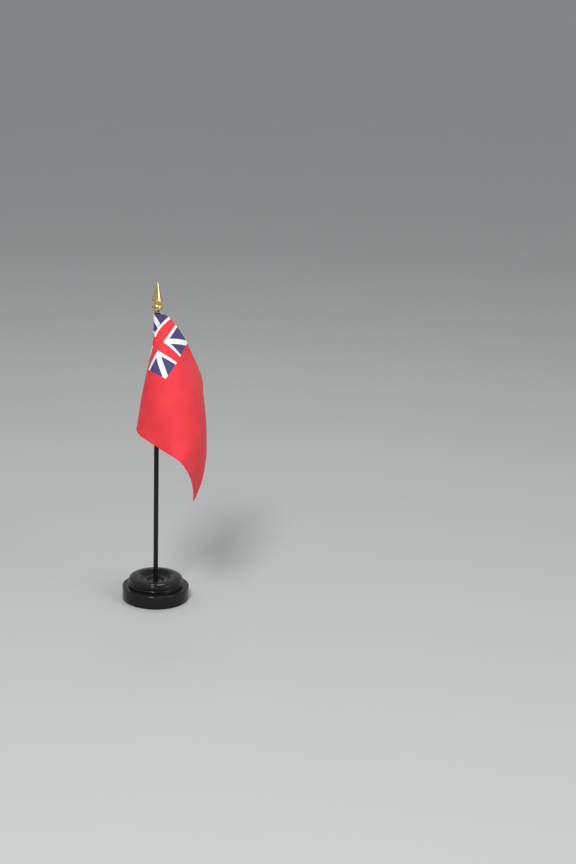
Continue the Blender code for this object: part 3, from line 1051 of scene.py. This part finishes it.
    def settle(self) -> None:
        """Lays the sheet on its cage and lets it hang."""
        across = np.linspace(self.seam_start, self.fly, self.columns)
        below = np.linspace(0.0, self.hoist, self.rows)
        flat = np.stack(np.meshgrid(across, below, indexing="ij"), axis=-1).reshape(-1, 2)
        laid = self.laid_points(flat[:, 0], flat[:, 1])
        self.grid = laid.reshape(self.columns, self.rows, 3)
        self.grid = self.hang(flat, laid).reshape(self.columns, self.rows, 3)
        self.log_stretch(across, below)

    def log_stretch(self, across: np.ndarray, below: np.ndarray) -> None:
        """Reports how far the hung sheet is stretched from its cut."""
        sideways = np.linalg.norm(np.diff(self.grid, axis=0), axis=-1) / np.diff(across)[:, None]
        downward = np.linalg.norm(np.diff(self.grid, axis=1), axis=-1) / np.diff(below)[None, :]
        numbers = (sideways.min(), sideways.max(), downward.min(), downward.max())
        LOG.info("drape: stretch across %.3f to %.3f, down %.3f to %.3f", *numbers)

    def hang(self, flat: np.ndarray, laid: np.ndarray) -> np.ndarray:
        """Lets the laid sheet hang under its own weight for `hang_frames` frames.

        Args:
            flat: each point's place on the flat cloth.
            laid: where it is laid.

        Returns:
            Where the points are after the last frame.
        """
        shape = bmesh.new()
        bmesh.ops.create_grid(shape, x_segments=self.rows - 1, y_segments=self.columns - 1, size=1.0)
        mesh = bpy.data.meshes.new("hanging")
        shape.to_mesh(mesh)
        shape.free()
        mesh.vertices.foreach_set("co", laid.ravel())
        sheet = bpy.data.objects.new("hanging", mesh)
        bpy.context.scene.collection.objects.link(sheet)
        sheet.shape_key_add(name="laid")
        cut = sheet.shape_key_add(name="cut")
        cut.data.foreach_set("co", np.column_stack([flat, np.zeros(len(flat))]).ravel())
        held = sheet.vertex_groups.new(name="held")
        hold = np.where(flat[:, 0] <= self.seam_end + 0.0001, 1.0, 0.0)
        for index, weight in enumerate(hold):
            held.add([index], float(weight), "REPLACE")
        cloth = sheet.modifiers.new("hang", "CLOTH")
        settings = cloth.settings
        for name, value in CLOTH_SETTINGS.items():
            setattr(settings, name, value)
        settings.rest_shape_key = cut
        cloth.collision_settings.use_collision = False
        cloth.point_cache.frame_end = 60
        scene = bpy.context.scene
        for moment in range(self.hang_frames):
            scene.frame_set(moment + 1)
        hung = sheet.evaluated_get(bpy.context.evaluated_depsgraph_get()).to_mesh()
        places = np.empty(len(hung.vertices) * 3)
        hung.vertices.foreach_get("co", places)
        scene.frame_set(1)
        bpy.data.objects.remove(sheet, do_unlink=True)
        moved = np.linalg.norm(places.reshape(-1, 3) - laid, axis=1)
        LOG.info("drape: settled by %.1f mm at most, %.1f mm on the mean", moved.max() * 1000, moved.mean() * 1000)
        return places.reshape(-1, 3)

    def points(self, across: np.ndarray, below: np.ndarray) -> np.ndarray:
        """Places on the hung cloth, sleeve or sheet.

        Args:
            across: places across the cloth.
            below: depths under the top edge.

        Returns:
            One point for each place.
        """
        column = (across - self.seam_start) / (self.fly - self.seam_start) * (self.columns - 1)
        row = below / self.hoist * (self.rows - 1)
        sheet = read_grid(self.grid, np.maximum(column, 0.0), row)
        sleeve = self.sleeve_points(np.minimum(across, self.seam_start), below)
        return np.where((across > self.seam_start)[:, None], sheet, sleeve)

    def normals(self, across: np.ndarray, below: np.ndarray) -> np.ndarray:
        """The directions that the printed front faces.

        Args:
            across: places across the cloth.
            below: depths under the top edge.

        Returns:
            One direction for each place.
        """
        step = 0.0004
        ahead = self.points(np.minimum(across + step, self.fly), below)
        behind = self.points(np.maximum(across - step, self.tail), below)
        lower = self.points(across, np.minimum(below + step, self.hoist))
        upper = self.points(across, np.maximum(below - step, 0.0))
        facing = np.cross(lower - upper, ahead - behind)
        return facing / np.linalg.norm(facing, axis=1, keepdims=True)


@dataclass
class StickFlag:
    """The flag: one printed sheet with folded hems, sewn into a sleeve, and its rows of stitches."""

    drape: Drape
    thickness: float = 0.00022
    hem: float = 0.0034  # width folded back along the three free edges
    hem_gap: float = 0.00026  # between the middles of two folded layers
    stitch_inset: float = 0.0027  # from the edge to the row of stitches
    stitch_pitch: float = 0.0024
    stitch_length: float = 0.0019
    stitch_radius: float = 0.00011
    pucker_height: float = 0.00016
    pucker_reach: float = 0.0060
    sheet_columns: int = 164
    sheet_rows: int = 113
    sleeve_columns: int = 40
    seed: int = 7

    def pucker(self, across: np.ndarray, below: np.ndarray) -> np.ndarray:
        """The small waves that a row of stitches draws into the cloth.

        Args:
            across: places across the cloth.
            below: depths under the top edge.

        Returns:
            The waves' height at each place.
        """
        random = np.random.default_rng(self.seed)
        drape = self.drape
        past_seam = np.clip((across - drape.seam_end) / 0.008, 0.0, 1.0)
        total = np.zeros(len(across))
        rows = (
            (below, across, past_seam),
            (drape.hoist - below, across, past_seam),
            (drape.fly - across, below, 1.0),
            (np.abs(across - drape.seam_end), below, 0.8),
        )
        for distance, along, share in rows:
            wave = np.zeros(len(across))
            for length, height in ((0.0093, 0.5), (0.0061, 0.6), (0.0037, 0.35)):
                wave += height * np.sin(2 * math.pi * along / length + random.uniform(0, 2 * math.pi))
            total += share * wave * np.exp(-((distance / self.pucker_reach) ** 2))
        return total * self.pucker_height

    def fold_lines(self, start: float, end: float, count: int, first: bool) -> list[tuple[float, float]]:
        """The lines of one direction of the sheet, with the hems folded to the back at its ends.

        Args:
            start: where the lines start.
            end: where they end.
            count: how many lie on the sheet itself.
            first: whether the start is hemmed too.

        Returns:
            For each line its place, and how far it is folded: 0 on the sheet and 1 on the hem.
        """
        bend = self.hem_gap / 2
        turns = [math.pi * step / 4 for step in range(1, 4)]
        begin = start + bend if first else start
        inside = np.linspace(begin, end - bend, count)
        lines = [(float(place), 0.0) for place in inside]
        fold = [(bend - bend * math.sin(turn), (1 - math.cos(turn)) / 2) for turn in turns]
        back = [(bend + (self.hem - bend) * step / 4, 1.0) for step in range(5)]
        lines += [(end - depth, share) for depth, share in fold + back]
        if first:
            lines = [(start + depth, share) for depth, share in reversed(fold + back)] + lines
        return lines

    def layer_lift(self, below: np.ndarray, row_fold: np.ndarray, column_fold: np.ndarray) -> np.ndarray:
        """How far each layer of the cloth lies from the printed front, behind it.

        Args:
            below: depths under the top edge.
            row_fold: how far a row is folded into the top or bottom hem.
            column_fold: how far a column is folded into the free edge's hem.

        Returns:
            The lift along the front's normal, which is 0 or less.
        """
        edge = np.minimum(below, self.drape.hoist - below)
        corner = np.clip((self.hem + 0.0008 - edge) / 0.0008, 0.0, 1.0)
        around = (1 + 2 * corner) * (1 - row_fold) + row_fold
        return -self.hem_gap * (row_fold + around * column_fold)

    def build_cloth(self, material: bpy.types.Material) -> bpy.types.Object:
        """Builds the printed sheet with its sleeve and its folded hems.

        Args:
            material: its finish.

        Returns:
            The piece.
        """
        drape = self.drape
        sleeve = np.linspace(drape.tail, drape.seam_start, self.sleeve_columns, endpoint=False)
        columns = [(float(place), 0.0) for place in sleeve]
        columns += self.fold_lines(drape.seam_start, drape.fly, self.sheet_columns, first=False)
        rows = self.fold_lines(0.0, drape.hoist, self.sheet_rows, first=True)
        shape = bmesh.new()
        map_layer = shape.loops.layers.uv.new("cut")
        bmesh.ops.create_grid(shape, x_segments=len(columns) - 1, y_segments=len(rows) - 1, size=1.0)
        places = np.array([corner.co[:2] for corner in shape.verts])
        column = np.rint((places[:, 0] + 1) / 2 * (len(columns) - 1)).astype(int)
        row = np.rint((1 - places[:, 1]) / 2 * (len(rows) - 1)).astype(int)
        across, column_fold = np.array(columns)[column].T
        below, row_fold = np.array(rows)[row].T
        lift = self.layer_lift(below, row_fold, column_fold) + self.pucker(across, below)
        normals = drape.normals(across, below)
        final = drape.points(across, below) + normals * lift[:, None]
        for corner, place in zip(shape.verts, final):
            corner.co = place
        for face in shape.faces:
            for loop in face.loops:
                loop[map_layer].uv = (across[loop.vert.index], below[loop.vert.index])
        mesh = finished_mesh("printed_flag", shape, sharp=80.0)
        cloth = add_piece(mesh, material, "flag", ["flag_cloth"])
        solid = cloth.modifiers.new("thickness", "SOLIDIFY")
        solid.thickness = self.thickness
        solid.offset = 0.0
        solid.use_even_offset = False
        return cloth

    def add_stitch(self, shape: bmesh.types.BMesh, place: Vector, along: Vector, facing: Vector) -> None:
        """Adds one stitch, a short rounded length of thread.

        Args:
            shape: the row's bmesh.
            place: its middle.
            along: its direction.
            facing: the direction away from the cloth.
        """
        aside = facing.cross(along).normalized()
        turn = Matrix((aside, facing, along)).transposed().to_4x4()
        size = Matrix.Diagonal((self.stitch_radius, self.stitch_radius * 0.8, self.stitch_length / 2, 1.0))
        matrix = Matrix.Translation(place) @ turn @ size
        bmesh.ops.create_uvsphere(shape, u_segments=6, v_segments=5, radius=1.0, matrix=matrix)

    def build_stitches(
        self, name: str, node: str, line: Callable[[float], tuple[float, float]], length: float, layers: int,
        material: bpy.types.Material,
    ) -> bpy.types.Object:
        """Builds one row of stitches, seen on both faces of the cloth.

        Args:
            name: the row's name.
            node: the CAD node that it replaces.
            line: gives a place across and below for a share of the row.
            length: the row's length on the cloth.
            layers: how many layers of cloth it goes through.
            material: the thread's finish.

        Returns:
            The piece.
        """
        count = int(length / self.stitch_pitch)
        random = np.random.default_rng(self.seed + len(name))
        shares = (np.arange(count) + 0.5) / count + random.uniform(-0.04, 0.04, count) / count
        shape = bmesh.new()
        for side in Side:
            shift = 0.0 if side is Side.FRONT else 0.5 / count
            across, below = np.array([line(min(share + shift, 1.0)) for share in shares]).T
            ahead = np.array([line(min(share + shift + 0.2 / count, 1.0)) for share in shares]).T
            behind = np.array([line(max(share + shift - 0.2 / count, 0.0)) for share in shares]).T
            normals = self.drape.normals(across, below)
            depth = self.thickness / 2 + self.stitch_radius * 0.45
            lift = depth if side is Side.FRONT else -depth - self.hem_gap * (layers - 1)
            lift = lift + self.pucker(across, below)
            middle = self.drape.points(across, below) + normals * lift[:, None]
            along = self.drape.points(*ahead) - self.drape.points(*behind)
            for place, way, normal in zip(middle, along, normals):
                facing = Vector(normal) * side.value
                way = Vector(way)
                way -= facing * way.dot(facing)
                self.add_stitch(shape, Vector(place), way.normalized(), facing)
        return add_piece(finished_mesh(name, shape, 80.0), material, "flag", [node])

    def build(self, cloth: bpy.types.Material, thread: bpy.types.Material) -> None:
        """Builds the flag: its printed sheet and its rows of stitches.

        Args:
            cloth: the printed cloth's finish.
            thread: the sewing thread's finish.
        """
        drape = self.drape
        sheet = self.build_cloth(cloth)
        inset = self.stitch_inset
        first = drape.seam_end + inset
        run = drape.fly - first - inset
        foot = drape.hoist - inset
        drop = drape.hoist - 2 * inset
        seam = drape.seam_end - drape.seam_width / 2
        rows = (
            ("top_hem_stitches", "top_hem_thread", lambda share: (first + run * share, inset), run, 2),
            ("bottom_hem_stitches", "bottom_hem_thread", lambda share: (first + run * share, foot), run, 2),
            ("fly_hem_stitches", "fly_hem_thread", lambda share: (drape.fly - inset, inset + drop * share), drop, 2),
            ("sleeve_seam_stitches", "sleeve_seam_thread", lambda share: (seam, inset + drop * share), drop, 2),
        )
        stitches = [self.build_stitches(*row, material=thread) for row in rows]


# The studio --------------------------------------------------------------------------------------------------


@dataclass(frozen=True)
class SoftBox:
    """A soft area light that looks at the stand."""

    name: str
    place: tuple[float, float, float]
    size: float
    power: float
    color: Rgb = (1.0, 1.0, 1.0)

    def build(self, aim: Vector) -> None:
        """Adds the light.

        Args:
            aim: the point that it looks at.
        """
        data = bpy.data.lights.new(self.name, "AREA")
        data.size = self.size
        data.energy = self.power
        data.color = self.color
        light = bpy.data.objects.new(self.name, data)
        light.location = self.place
        light.rotation_euler = (aim - Vector(self.place)).to_track_quat("-Z", "Y").to_euler()
        bpy.context.scene.collection.objects.link(light)


@dataclass
class Studio:
    """A plain pale floor, soft lights and the camera."""

    lens: float = 67.10
    camera_place: tuple[float, float, float] = (0.0176, -1.4316, 0.5924)
    pitch: float = 16.628  # degrees under the horizon
    roll: float = 0.547
    shift: float = 0.1302
    floor_size: float = 120.0
    boxes: tuple[SoftBox, ...] = (
        SoftBox("key", (-0.30, -1.05, 1.30), 0.36, 18.0),
        SoftBox("fill", (1.30, -0.90, 0.80), 0.80, 10.0),
        SoftBox("overhead", (0.05, 0.60, 1.30), 0.40, 3.0),
    )
    sky: Rgb = (0.80, 0.82, 0.84)
    sky_strength: float = 0.60

    def build_floor(self, material: bpy.types.Material) -> None:
        """Adds the floor.

        Args:
            material: its finish.
        """
        shape = bmesh.new()
        bmesh.ops.create_grid(shape, x_segments=8, y_segments=8, size=self.floor_size / 2)
        floor = bpy.data.objects.new("studio_floor", finished_mesh("studio_floor", shape))
        floor.data.materials.append(material)
        bpy.context.scene.collection.objects.link(floor)

    def build_camera(self) -> None:
        """Adds the camera and makes it the scene's own."""
        data = bpy.data.cameras.new("view")
        data.lens = self.lens
        data.sensor_width = 36.0
        data.shift_x = self.shift
        camera = bpy.data.objects.new("view", data)
        pitch = Matrix.Rotation(math.radians(90.0 - self.pitch), 4, "X")
        roll = Matrix.Rotation(math.radians(self.roll), 4, "Z")
        camera.matrix_world = Matrix.Translation(self.camera_place) @ pitch @ roll
        bpy.context.scene.collection.objects.link(camera)
        bpy.context.scene.camera = camera

    def build(self) -> None:
        """Sets up the whole studio."""
        self.build_camera()
        self.build_floor(StudioPaper().material())
        for box in self.boxes:
            box.build(Vector((0.0, 0.0, 0.14)))
        world = bpy.data.worlds.new("studio")
        world.use_nodes = True
        backing = world.node_tree.nodes["Background"]
        backing.inputs["Color"].default_value = (*self.sky, 1.0)
        backing.inputs["Strength"].default_value = self.sky_strength
        bpy.context.scene.world = world
        bpy.context.scene.view_settings.view_transform = "Standard"


# The whole ---------------------------------------------------------------------------------------------------


def main() -> None:
    """Builds the stand piece by piece."""
    logging.basicConfig(level=logging.INFO, format="%(name)s %(message)s")
    studio = Studio()
    studio.build()
    effects = Effects()
    base_black = MouldedPlastic("base_black", (0.008, 0.008, 0.008), 0.12, 0.14, 700.0, 0.05, 0.00005, 0.04)
    staff_black = MouldedPlastic("staff_black", (0.009, 0.008, 0.010), 0.30, 0.15, 900.0, 0.15, 0.00003, 0.0)
    base_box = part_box("base_body")
    staff_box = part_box("staff")
    finial_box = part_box("spear_finial")
    base = RoundBase(radius=base_box[1][0], height=base_box[1][2])
    base.build(base_black.material(effects))
    staff_radius = staff_box[1][0]
    staff = Staff(foot=staff_box[0][2], top=staff_box[1][2], radius=staff_radius)
    staff.build(staff_black.material(effects))
    finial = SpearFinial(finial_box[0][2], finial_box[1][2], staff_radius + RUNNING_GAP, finial_box[1][0])
    finial.build(GiltPlating().material(effects))
    drape = Drape(top=finial_box[0][2] - FLAG_TOP_GAP)
    drape.settle()
    flag = StickFlag(drape)
    flag.build(PrintedCloth().material(effects), SewingThread().material())


if __name__ == "__main__":
    main()
